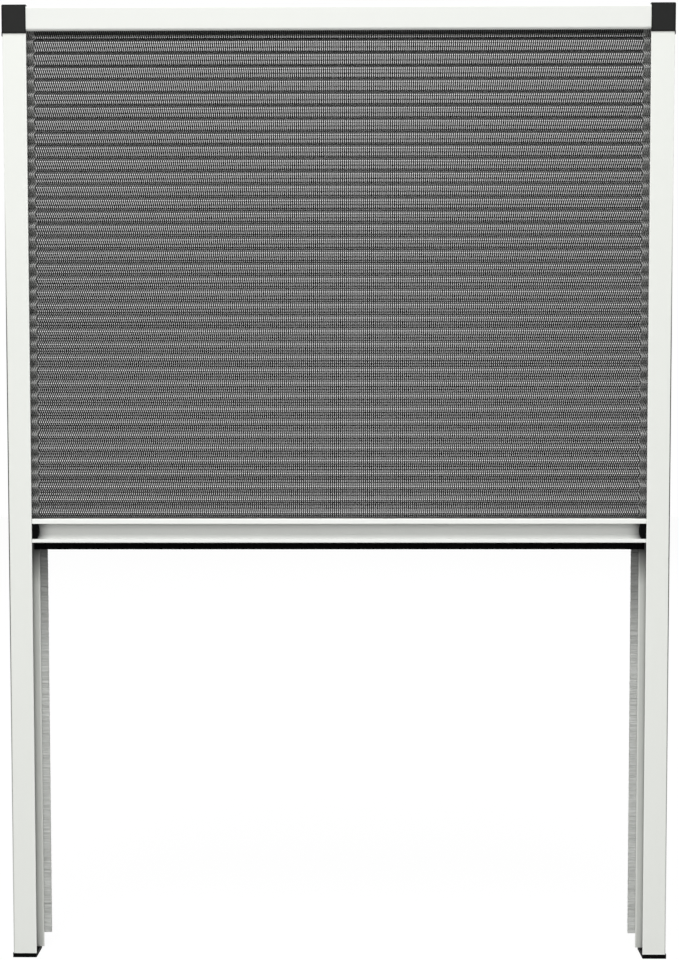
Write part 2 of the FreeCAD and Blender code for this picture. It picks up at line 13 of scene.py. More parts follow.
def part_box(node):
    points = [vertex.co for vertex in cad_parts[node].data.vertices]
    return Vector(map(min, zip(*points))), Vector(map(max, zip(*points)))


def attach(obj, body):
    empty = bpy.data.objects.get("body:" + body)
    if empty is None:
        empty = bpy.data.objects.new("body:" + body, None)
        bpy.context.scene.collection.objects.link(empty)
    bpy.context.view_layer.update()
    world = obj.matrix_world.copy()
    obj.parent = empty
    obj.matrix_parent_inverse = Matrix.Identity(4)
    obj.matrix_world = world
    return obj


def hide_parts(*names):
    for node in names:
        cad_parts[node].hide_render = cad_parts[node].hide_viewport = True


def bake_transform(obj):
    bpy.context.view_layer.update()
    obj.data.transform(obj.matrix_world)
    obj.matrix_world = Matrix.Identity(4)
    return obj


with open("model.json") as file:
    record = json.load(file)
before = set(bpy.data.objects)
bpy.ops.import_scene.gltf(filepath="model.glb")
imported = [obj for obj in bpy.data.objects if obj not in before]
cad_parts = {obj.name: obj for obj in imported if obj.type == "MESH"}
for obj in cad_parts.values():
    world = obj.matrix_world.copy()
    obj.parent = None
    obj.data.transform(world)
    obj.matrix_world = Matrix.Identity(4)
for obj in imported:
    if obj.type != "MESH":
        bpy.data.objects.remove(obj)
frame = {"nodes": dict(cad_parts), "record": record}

LOG = logging.getLogger("window_screen")
MM = 0.001
WARP_SEED = 11
WEFT_SEED = 23
SEAL_SEED = 5
BRUSH_SEED = 17

Triple = tuple[float, float, float]
Colour = Triple
Span = tuple[float, float]
Stops = tuple[tuple[float, float], ...]
Number = Union["Num", float, int]

WHITE: Colour = (1.0, 1.0, 1.0)


class Body(Enum):
    """The bodies that the pieces ride on."""

    FRAME = "frame"
    BAR = "bar"


class Side(Enum):
    """The hand of a piece, with the direction of X in which it lies."""

    LEFT = -1
    RIGHT = 1


class Slot(Enum):
    """The material slots of the record."""

    PROFILE = "white_profile"
    PLASTIC = "black_plastic"
    NET = "pleated_mesh"
    CLIP = "clip_strip"
    SEAL = "black_pile"
    BRUSH = "grey_pile"
    BACKING = "pile_backing"
    GLIDER = "glider_plastic"
    FELT = "felt"
    SCREW = "screw_steel"


@dataclass(frozen=True)
class Edges:
    """Where the screen's profiles begin and end, with X counted from the middle of the width."""

    front_y: float
    rail_inner_x: float
    rail_outer_x: float
    lip_x: float
    lip_y: Span
    bar_front_y: float
    bar_top_z: float
    seal_low_z: float
    plug_x: float
    cap_x: Span
    cap_z: Span
    cap_front_y: float

    @classmethod
    def read(cls) -> "Edges":
        """Read the edges from the boxes of the frame's nodes."""
        rail_low, rail_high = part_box("right_rail")
        cap_low, cap_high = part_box("right_corner_cap")
        bar_low, bar_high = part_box("pull_bar")
        inner_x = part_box("top_profile")[1].x
        return cls(
            front_y=rail_low.y,
            rail_inner_x=inner_x,
            rail_outer_x=rail_high.x,
            lip_x=rail_low.x,
            lip_y=(bar_high.y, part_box("right_brush_backing")[0].y),
            bar_front_y=bar_low.y,
            bar_top_z=bar_high.z,
            seal_low_z=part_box("seal_pile")[0].z,
            plug_x=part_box("right_end_cap")[0].x,
            cap_x=(inner_x, cap_high.x),
            cap_z=(rail_high.z, cap_high.z),
            cap_front_y=cap_low.y,
        )


EDGES = Edges.read()


class Num:
    """A number socket that takes part in plain arithmetic."""

    def __init__(self, graph: "Graph", socket: bpy.types.NodeSocket) -> None:
        """Wrap a socket of a graph."""
        self.graph = graph
        self.socket = socket

    def _do(self, operation: str, *terms: Number) -> "Num":
        """Add a Math node with these terms."""
        return self.graph.maths(operation, *terms)

    def __add__(self, other: Number) -> "Num":
        """Return the sum."""
        return self._do("ADD", self, other)

    __radd__ = __add__

    def __sub__(self, other: Number) -> "Num":
        """Return the difference."""
        return self._do("SUBTRACT", self, other)

    def __rsub__(self, other: Number) -> "Num":
        """Return the reflected difference."""
        return self._do("SUBTRACT", other, self)

    def __mul__(self, other: Number) -> "Num":
        """Return the product."""
        return self._do("MULTIPLY", self, other)

    __rmul__ = __mul__

    def __truediv__(self, other: Number) -> "Num":
        """Return the quotient."""
        return self._do("DIVIDE", self, other)

    def __gt__(self, other: Number) -> "Num":
        """Return 1 where this is more than the other, else 0."""
        return self._do("GREATER_THAN", self, other)

    def __lt__(self, other: Number) -> "Num":
        """Return 1 where this is less than the other, else 0."""
        return self._do("LESS_THAN", self, other)

    def __mod__(self, other: Number) -> "Num":
        """Return the remainder."""
        return self._do("FLOORED_MODULO", self, other)

    def size(self) -> "Num":
        """Return the absolute value."""
        return self._do("ABSOLUTE", self)

    def floor(self) -> "Num":
        """Return the whole part."""
        return self._do("FLOOR", self)

    def at_least(self, other: Number) -> "Num":
        """Return the larger of the two."""
        return self._do("MAXIMUM", self, other)

    def at_most(self, other: Number) -> "Num":
        """Return the smaller of the two."""
        return self._do("MINIMUM", self, other)

    def within(self, limits: Span) -> "Num":
        """Return 1 between two limits, else 0."""
        return (self > limits[0]) * (self < limits[1])

    def rise(self, start: float, end: float) -> "Num":
        """Return the share of the way from start to end, from 0 to 1."""
        return ((self - start) / (end - start)).at_least(0.0).at_most(1.0)


class Graph:
    """A node tree that is being built."""

    def __init__(self, tree: bpy.types.NodeTree) -> None:
        """Start on a tree."""
        self.tree = tree

    def node(self, kind: str, settings: Optional[Mapping[str, Any]] = None,
             inputs: Optional[Mapping[Union[str, int], Any]] = None) -> bpy.types.Node:
        """Make a node.

        Args:
            kind: the node's type.
            settings: its properties, and "stops" for a ramp's places and greys.
            inputs: values, links or numbers for its sockets, by identifier, name or place.

        Returns:
            The node.
        """
        made = self.tree.nodes.new(kind)
        for name, value in (settings or {}).items():
            if name == "stops":
                self._set_stops(made, value)
            else:
                setattr(made, name, value)
        for key, value in (inputs or {}).items():
            self._feed(self._socket(made.inputs, key), value)
        return made

    @staticmethod
    def _set_stops(made: bpy.types.Node, stops: Stops) -> None:
        """Give a ramp its stops, each a place and a grey."""
        elements = made.color_ramp.elements
        while len(elements) < len(stops):
            elements.new(1.0)
        for element, (place, grey) in zip(elements, stops):
            element.position = place
            element.color = (grey, grey, grey, 1.0)

    @staticmethod
    def _socket(sockets: Any, key: Union[str, int]) -> bpy.types.NodeSocket:
        """Find a socket by its place, its identifier or its name."""
        if isinstance(key, int):
            return sockets[key]
        for socket in sockets:
            if socket.identifier == key:
                return socket
        return sockets[key]

    def _feed(self, socket: bpy.types.NodeSocket, value: Any) -> None:
        """Link or set one input."""
        if isinstance(value, Num):
            self.tree.links.new(value.socket, socket)
        elif isinstance(value, bpy.types.NodeSocket):
            self.tree.links.new(value, socket)
        elif isinstance(value, tuple) and socket.type == "RGBA":
            socket.default_value = (*value, 1.0)
        else:
            socket.default_value = value

    def number(self, made: bpy.types.Node, key: Union[str, int] = 0) -> Num:
        """Return an output of a node as a number."""
        return Num(self, self._socket(made.outputs, key))

    def maths(self, operation: str, *terms: Number) -> Num:
        """Make a Math node from its operation and terms."""
        made = self.node("ShaderNodeMath", {"operation": operation}, dict(enumerate(terms)))
        return self.number(made)

    def vector(self, x: Number, y: Number, z: Number) -> bpy.types.NodeSocket:
        """Combine three numbers into a vector."""
        return self.node("ShaderNodeCombineXYZ", None, {0: x, 1: y, 2: z}).outputs[0]


class ShaderGraph(Graph):
    """The nodes of one material."""

    def __init__(self, name: str) -> None:
        """Start an empty material."""
        self.material = bpy.data.materials.new(name)
        self.material.use_nodes = True
        super().__init__(self.material.node_tree)
        self.tree.nodes.clear()
        self.place = self.node("ShaderNodeTexCoord").outputs["Object"]

    def stretched(self, scale: Triple) -> bpy.types.NodeSocket:
        """Return the piece's coordinates, stretched by a scale for each axis."""
        made = self.node("ShaderNodeMapping", None, {"Vector": self.place, "Scale": scale})
        return made.outputs[0]

    def noise(self, scale: float, detail: float = 2.0,
              where: Optional[bpy.types.NodeSocket] = None) -> Num:
        """Return cloudy noise.

        Args:
            scale: how many features there are to the metre.
            detail: how many finer layers lie over the first.
            where: the coordinates, in place of the piece's own.

        Returns:
            The noise, from 0 to 1.
        """
        made = self.node("ShaderNodeTexNoise", {"noise_dimensions": "3D"},
                         {"Vector": where or self.place, "Scale": scale, "Detail": detail})
        return self.number(made, "Fac")

    def axes(self) -> tuple[Num, Num, Num]:
        """Return the coordinates as three numbers."""
        made = self.node("ShaderNodeSeparateXYZ", None, {0: self.place})
        return self.number(made, 0), self.number(made, 1), self.number(made, 2)

    def ramp(self, value: Num, stops: Stops) -> Num:
        """Send a number through a ramp of greys."""
        made = self.node("ShaderNodeValToRGB", {"stops": stops}, {"Fac": value})
        return self.number(made, "Color")

    def blend(self, share: Num, low: Any, high: Any) -> bpy.types.NodeSocket:
        """Mix two colours by a share."""
        made = self.node("ShaderNodeMix", {"data_type": "RGBA"},
                         {"Factor_Float": share, "A_Color": low, "B_Color": high})
        return self._socket(made.outputs, "Result_Color")

    def relief(self, height: Num, depth: float) -> bpy.types.NodeSocket:
        """Return normals for a height field of this depth in metres."""
        made = self.node("ShaderNodeBump", None, {"Height": height, "Distance": depth})
        return made.outputs[0]

    def surface(self, inputs: Mapping[str, Any]) -> bpy.types.Material:
        """Close the material with a Principled shader.

        Args:
            inputs: the values or links of its sockets.

        Returns:
            The finished material.
        """
        shader = self.node("ShaderNodeBsdfPrincipled", None, inputs)
        self.node("ShaderNodeOutputMaterial", None, {"Surface": shader.outputs[0]})
        return self.material


@dataclass(frozen=True)
class PowderCoat:
    """White satin powder coat with a fine orange-peel skin."""

    name: str = "powder_coat"
    colour: Colour = (0.838, 0.855, 0.812)
    painted_front_light_colour: Colour = (0.90, 0.91, 0.875)
    outer_edge_shade_colour: Colour = (0.05, 0.052, 0.05)
    painted_shade_colour: Colour = (0.12, 0.122, 0.12)
    bar_shadow_colour: Colour = (0.012, 0.012, 0.012)
    cloud_scale: float = 9.0
    cloud_detail: float = 3.0
    cloud_stops: Stops = ((0.3, 0.985), (0.7, 1.0))
    cloud_share: float = 0.94
    roughness: float = 0.56
    rough_scale: float = 60.0
    rough_spread: float = 0.06
    peel_scale: float = 700.0
    peel_depth: float = 0.02 * MM
    front_y: float = EDGES.front_y + 0.6 * MM
    painted_light_to_x: float = EDGES.rail_inner_x + 1.4 * MM
    painted_light_share: float = 0.8
    edge_shade_from_x: float = EDGES.rail_outer_x - 1.4 * MM
    edge_shade_z: Span = (0.93, 0.75)
    edge_shade_at_foot: float = 0.3
    edge_shade_per_metre: float = 1.4
    lip_y: Span = (EDGES.lip_y[0] + 0.1 * MM, EDGES.lip_y[1] + 0.5 * MM)
    channel_shade_x: Span = (EDGES.lip_x, EDGES.lip_x + 10.5 * MM)
    channel_shade_stops: Stops = ((0.0, 0.06), (0.24, 0.28), (0.5, 0.27), (0.72, 0.42), (1.0, 0.95))
    channel_shaded_below_z: float = EDGES.bar_top_z + 0.9 * MM
    bar_shadow_z: Span = (EDGES.seal_low_z - 45.1 * MM, EDGES.bar_top_z + 5.9 * MM)
    bar_shadow_stops: Stops = ((0.0, 0.0), (0.5, 0.86), (0.75, 0.86), (1.0, 0.0))
    grip_y: Span = (EDGES.bar_front_y + 0.6 * MM, EDGES.bar_front_y + 13.4 * MM)
    grip_shade: float = 0.0
    grip_end_shade: float = 0.0
    grip_end_x: Span = (EDGES.plug_x - 15.8 * MM, EDGES.plug_x + 0.2 * MM)

    def material(self) -> bpy.types.Material:
        """Make the coat: a painted tone on inner front edges (a highlight on the rails), painted shade
        along outer front edges, in the channels and the grip, and the bar's painted shadow on the lips.
        """
        graph = ShaderGraph(self.name)
        x, y, z = graph.axes()
        across = x.size()
        cloud = graph.ramp(graph.noise(self.cloud_scale, self.cloud_detail), self.cloud_stops)
        tone = graph.blend(cloud, tuple(self.cloud_share * c for c in self.colour), self.colour)
        front = y < self.front_y
        # Painted tone near the inner front edges: a painted highlight on the rails; over the top
        # profile's whole front, given a darker colour, a painted shade.
        front_light = front * (across < self.painted_light_to_x) * self.painted_light_share
        tone = graph.blend(front_light, tone, self.painted_front_light_colour)
        # Painted shade: a dark line along the outer front edges, none near the top and weaker towards
        # the foot.
        edge_shade = z.rise(*self.edge_shade_z) * (self.edge_shade_at_foot + z * self.edge_shade_per_metre).at_most(1.0)
        tone = graph.blend(front * (across > self.edge_shade_from_x) * edge_shade, tone, self.outer_edge_shade_colour)
        lip = y.within(self.lip_y)
        # Painted shade in the channels: the lips grow darker towards the rails' front walls, below the
        # bar's top only.
        channel_shade = graph.ramp(across.rise(*self.channel_shade_x), self.channel_shade_stops)
        tone = graph.blend(lip * channel_shade * (z < self.channel_shaded_below_z), tone, self.painted_shade_colour)
        # Painted shadow of the bar and its seal on the lips, in a band around the bar's rest height.
        bar_shadow = graph.ramp(z.rise(*self.bar_shadow_z), self.bar_shadow_stops)
        tone = graph.blend(lip * bar_shadow, tone, self.bar_shadow_colour)
        # Painted shade in the grip recess, deeper next to the black plugs.
        near_plug = across.rise(*self.grip_end_x)
        grip_shade_share = self.grip_shade + near_plug * near_plug * self.grip_end_shade
        return graph.surface({
            "Base Color": graph.blend(y.within(self.grip_y) * grip_shade_share, tone, self.painted_shade_colour),
            "Roughness": self.roughness + self.rough_spread * graph.noise(self.rough_scale),
            "Normal": graph.relief(graph.noise(self.peel_scale, 1.0), self.peel_depth),
        })


@dataclass(frozen=True)
class MouldedPlastic:
    """Black plastic with a fine moulded grain."""

    name: str = "black_moulded_plastic"
    colour: Colour = (0.0045, 0.005, 0.0045)
    worn_colour: Colour = (0.0075, 0.0077, 0.0073)
    rim_shade_colour: Colour = (0.0005, 0.0005, 0.0005)
    mottle_scale: float = 120.0
    gloss: float = 0.18
    roughness: float = 0.5
    rough_spread: float = 0.12
    grain_scale: float = 1800.0
    grain_depth: float = 0.03 * MM
    front_y: float = EDGES.cap_front_y + 2.4 * MM
    flat_x: Span = (EDGES.cap_x[0] + 2.0 * MM, EDGES.cap_x[1] - 3.0 * MM)
    flat_z: Span = (EDGES.cap_z[0] + 2.0 * MM, EDGES.cap_z[1] - 2.2 * MM)

    def material(self) -> bpy.types.Material:
        """Make the plastic, with painted shade on all fronts but the flat middle of the corner caps."""
        graph = ShaderGraph(self.name)
        grain = graph.noise(self.grain_scale)
        x, y, z = graph.axes()
        flat = x.size().within(self.flat_x) * z.within(self.flat_z)
        mottled = graph.blend(graph.noise(self.mottle_scale), self.colour, self.worn_colour)
        return graph.surface({
            # Painted shade: all fronts but the flat middle of the corner caps are painted near black.
            "Base Color": graph.blend((1.0 - flat) * (y < self.front_y), mottled, self.rim_shade_colour),
            "Specular IOR Level": self.gloss,
            "Roughness": self.roughness + self.rough_spread * grain,
            "Normal": graph.relief(grain, self.grain_depth),
        })


@dataclass(frozen=True)
class CoatedThread:
    """Dark coated polyester thread."""

    colour: Colour = (0.017, 0.018, 0.018)
    light_colour: Colour = (0.034, 0.035, 0.034)
    painted_light_selvedge_colour: Colour = (0.27, 0.272, 0.265)
    painted_light_selvedge_bright_colour: Colour = (0.64, 0.642, 0.63)
    selvedge_x: Span = (EDGES.lip_x - 3.1 * MM, EDGES.lip_x - 2.1 * MM)
    warp_pitch: float = 2.5 * MM
    warp_share: float = 0.30
    roughness: float = 0.62
    rough_spread: float = 0.15
    twist_scale: float = 2600.0
    twist_depth: float = 0.04 * MM

    def material(self) -> bpy.types.Material:
        """Make the thread, with warps painted pale in the selvedges that run in the rails, as painted
        light.
        """
        graph = ShaderGraph("coated_thread")
        x = graph.axes()[0]
        fibre = graph.noise(self.twist_scale, 1.0)
        thread = graph.blend(fibre, self.colour, self.light_colour)
        # Painted light: pale warps near the rails stand in for light seen through the net there.
        painted_light_selvedge = graph.blend(fibre, self.painted_light_selvedge_colour, self.painted_light_selvedge_bright_colour)
        warp = ((x / self.warp_pitch + 0.5) % 1.0 - 0.5).size() < self.warp_share
        return graph.surface({
            "Base Color": graph.blend(x.size().rise(*self.selvedge_x) * warp, thread, painted_light_selvedge),
            "Roughness": self.roughness + self.rough_spread * fibre,
            "Normal": graph.relief(fibre, self.twist_depth),
        })


@dataclass(frozen=True)
class Pile:
    """The fibres of a brush, each a little lighter or darker than the next."""

    name: str
    dark: Colour
    light: Colour
    fibre_scale: Triple
    fibre_stops: Stops = ((0.35, 0.0), (0.65, 1.0))
    fibre_depth: float = 0.08 * MM
    gloss: float = 0.3
    roughness: float = 0.78
    rough_spread: float = 0.15
    bar_shadow_share: float = 0.0
    bar_shadow_z: Span = (EDGES.seal_low_z - 141.1 * MM, EDGES.seal_low_z - 11.1 * MM)
    bar_shadow_colour: Colour = (0.05, 0.05, 0.048)

    def material(self) -> bpy.types.Material:
        """Make the pile, with streaks that run along the fibres and a painted shadow that grows towards
        the bar.
        """
        graph = ShaderGraph(self.name)
        streak = graph.noise(1.0, 1.0, graph.stretched(self.fibre_scale))
        fibres = graph.blend(graph.ramp(streak, self.fibre_stops), self.dark, self.light)
        # Painted shadow: the pile grows darker towards the bar's rest height.
        bar_shadow = graph.axes()[2].rise(*self.bar_shadow_z) * self.bar_shadow_share
        return graph.surface({
            "Base Color": graph.blend(bar_shadow, fibres, self.bar_shadow_colour),
            "Specular IOR Level": self.gloss,
            "Roughness": self.roughness + self.rough_spread * streak,
            "Normal": graph.relief(streak, self.fibre_depth),
        })


@dataclass(frozen=True)
class WovenBacking:
    """The stiff woven strip that carries a pile."""

    dark: Colour = (0.20, 0.20, 0.20)
    light: Colour = (0.34, 0.34, 0.33)
    rib_pitch: float = 0.9 * MM
    rib_depth: float = 0.1 * MM
    roughness: float = 0.7
    rough_spread: float = 0.1

    def material(self) -> bpy.types.Material:
        """Make the strip, with ribs across it."""
        graph = ShaderGraph("woven_backing")
        x, y, z = graph.axes()
        turn = 2 * math.pi / self.rib_pitch
        ribs = graph.maths("SINE", (x + z) * turn) * graph.maths("SINE", y * turn)
        share = 0.5 + 0.5 * ribs
        return graph.surface({
            "Base Color": graph.blend(share, self.dark, self.light),
            "Roughness": self.roughness + self.rough_spread * share,
            "Normal": graph.relief(share, self.rib_depth),
        })


@dataclass(frozen=True)
class SlidePlastic:
    """Smooth grey plastic that slides in the rails."""

    colour: Colour = (0.42, 0.43, 0.43)
    rubbed_colour: Colour = (0.50, 0.50, 0.49)
    rub_scale: Triple = (900.0, 900.0, 40.0)
    rub_detail: float = 3.0
    rub_depth: float = 0.02 * MM
    roughness: float = 0.3
    rough_spread: float = 0.2

    def material(self) -> bpy.types.Material:
        """Make the plastic, rubbed in streaks along its travel."""
        graph = ShaderGraph("slide_plastic")
        rub = graph.noise(1.0, self.rub_detail, graph.stretched(self.rub_scale))
        return graph.surface({
            "Base Color": graph.blend(rub, self.colour, self.rubbed_colour),
            "Roughness": self.roughness + self.rough_spread * rub,
            "Normal": graph.relief(rub, self.rub_depth),
        })


@dataclass(frozen=True)
class PressedFelt:
    """Dark pressed felt."""

    dark: Colour = (0.13, 0.13, 0.13)
    light: Colour = (0.27, 0.27, 0.26)
    fuzz_scale: float = 1500.0
    fuzz_detail: float = 5.0
    fuzz_depth: float = 0.3 * MM
    roughness: float = 0.85
    rough_spread: float = 0.15

    def material(self) -> bpy.types.Material:
        """Make the felt."""
        graph = ShaderGraph("pressed_felt")
        fuzz = graph.noise(self.fuzz_scale, self.fuzz_detail)
        return graph.surface({
            "Base Color": graph.blend(fuzz, self.dark, self.light),
            "Roughness": self.roughness + self.rough_spread * fuzz,
            "Normal": graph.relief(fuzz, self.fuzz_depth),
        })


@dataclass(frozen=True)
class ZincPlate:
    """Bright zinc-plated steel."""

    colour: Colour = (0.62, 0.63, 0.64)
    cloudy_colour: Colour = (0.52, 0.52, 0.50)
    cloud_scale: float = 450.0
    cloud_detail: float = 4.0
    cloud_depth: float = 0.01 * MM
    roughness: float = 0.26
    rough_spread: float = 0.25

    def material(self) -> bpy.types.Material:
        """Make the plating, clouded in patches."""
        graph = ShaderGraph("zinc_plate")
        cloud = graph.noise(self.cloud_scale, self.cloud_detail)
        return graph.surface({
            "Base Color": graph.blend(cloud, self.colour, self.cloudy_colour),
            "Metallic": 1.0,
            "Roughness": self.roughness + self.rough_spread * cloud,
            "Normal": graph.relief(cloud, self.cloud_depth),
        })


@dataclass(frozen=True)
class ClipPlastic:
    """Dark extruded plastic with faint lines along its length."""

    colour: Colour = (0.09, 0.09, 0.09)
    line_colour: Colour = (0.14, 0.14, 0.14)
    line_scale: Triple = (8.0, 1600.0, 1600.0)
    line_depth: float = 0.02 * MM
    roughness: float = 0.42
    rough_spread: float = 0.1

    def material(self) -> bpy.types.Material:
        """Make the plastic."""
        graph = ShaderGraph("clip_plastic")
        lines = graph.noise(1.0, 2.0, graph.stretched(self.line_scale))
        return graph.surface({
            "Base Color": graph.blend(lines, self.colour, self.line_colour),
            "Roughness": self.roughness + self.rough_spread * lines,
            "Normal": graph.relief(lines, self.line_depth),
        })


class Recipe(Graph):
    """A geometry tree with named inputs that grows pieces."""

    def __init__(self, name: str) -> None:
        """Start a tree with one geometry output and a material input."""
        super().__init__(bpy.data.node_groups.new(name, "GeometryNodeTree"))
        self.tree.interface.new_socket("Geometry", in_out="OUTPUT", socket_type="NodeSocketGeometry")
        self.entry = self.node("NodeGroupInput")
        self.tree.interface.new_socket("Material", in_out="INPUT", socket_type="NodeSocketMaterial")

    def size(self, name: str, whole: bool = False) -> Num:
        """Add a named size to the inputs.

        Args:
            name: the input's name.
            whole: whether it is a whole number.

        Returns:
            The input as a number.
        """
        kind = "NodeSocketInt" if whole else "NodeSocketFloat"
        self.tree.interface.new_socket(name, in_out="INPUT", socket_type=kind)
        return Num(self, self.entry.outputs[name])

    def index(self) -> Num:
        """Return the number of each point."""
        return self.number(self.node("GeometryNodeInputIndex"))

    def points(self, count: Number, place: bpy.types.NodeSocket) -> bpy.types.NodeSocket:
        """Lay out points in order.

        Args:
            count: how many there are.
            place: the place of each, worked out from its index.

        Returns:
            The points as the vertices of one line.
        """
        line = self.node("GeometryNodeMeshLine", None, {"Count": count})
        return self.node("GeometryNodeSetPosition", None,
                         {"Geometry": line.outputs[0], "Position": place}).outputs[0]

    def scatter(self, points: bpy.types.NodeSocket, copy: bpy.types.NodeSocket,
                inputs: Optional[Mapping[str, Any]] = None) -> bpy.types.NodeSocket:
        """Put a copy on each point.

        Args:
            points: the points.
            copy: what is put there.
            inputs: more inputs of the node, such as a selection, rotation or scale.

        Returns:
            The instances.
        """
        given = {"Points": points, "Instance": copy, **(inputs or {})}
        return self.node("GeometryNodeInstanceOnPoints", None, given).outputs[0]

    def random(self, low: Number, high: Number, seed: Number) -> Num:
        """Return a random number for each point, with a fixed seed."""
        made = self.node("FunctionNodeRandomValue", {"data_type": "FLOAT"},
                         {"Min_001": low, "Max_001": high, "Seed": seed})
        return self.number(made, "Value_001")

    def random_vector(self, reach: Triple, seed: Number, scale: Number) -> bpy.types.NodeSocket:
        """Return a random vector for each point, with a fixed seed.

        Args:
            reach: how far each part goes to either side of zero.
            seed: the seed.
            scale: what the vector is multiplied by.

        Returns:
            The vector.
        """
        made = self.node("FunctionNodeRandomValue", {"data_type": "FLOAT_VECTOR"},
                         {"Min": tuple(-part for part in reach), "Max": reach, "Seed": seed})
        return self.node("ShaderNodeVectorMath", {"operation": "SCALE"},
                         {0: made.outputs[0], "Scale": scale}).outputs[0]

    def join(self, parts: Sequence[bpy.types.NodeSocket]) -> bpy.types.NodeSocket:
        """Join some geometries into one."""
        made = self.node("GeometryNodeJoinGeometry")
        for part in parts:
            self.tree.links.new(part, made.inputs[0])
        return made.outputs[0]

    def moved(self, geometry: bpy.types.NodeSocket, inputs: Mapping[str, Any]) -> bpy.types.NodeSocket:
        """Turn and move a geometry."""
        return self.node("GeometryNodeTransform", None, {"Geometry": geometry, **inputs}).outputs[0]

    def close(self, parts: Sequence[bpy.types.NodeSocket]) -> None:
        """Join the parts, make them real, give them the material and end the tree."""
        real = self.node("GeometryNodeRealizeInstances", None, {0: self.join(parts)})
        dressed = self.node("GeometryNodeSetMaterial", None,
                            {"Geometry": real.outputs[0], "Material": self.entry.outputs["Material"]})
        self.node("NodeGroupOutput", None, {0: dressed.outputs[0]})

    def grow(self, name: str, sizes: Mapping[str, float],
             material: bpy.types.Material) -> bpy.types.Object:
        """Run the tree once and keep its result as a plain mesh.

        Args:
            name: the piece's name.
            sizes: a value for each named input.
            material: what the piece is made of.

        Returns:
            A new object at the origin.
        """
        host = bpy.data.objects.new(name + ".host", bpy.data.meshes.new(name + ".host"))
        bpy.context.scene.collection.objects.link(host)
        modifier = host.modifiers.new("recipe", "NODES")
        modifier.node_group = self.tree
        values = {**sizes, "Material": material}
        for item in self.tree.interface.items_tree:
            if item.in_out == "INPUT":
                modifier[item.identifier] = values[item.name]
        depsgraph = bpy.context.evaluated_depsgraph_get()
        mesh = bpy.data.meshes.new_from_object(host.evaluated_get(depsgraph), depsgraph=depsgraph)
        mesh.name = name
        bpy.data.objects.remove(host)
        piece = bpy.data.objects.new(name, mesh)
        bpy.context.scene.collection.objects.link(piece)
        return piece


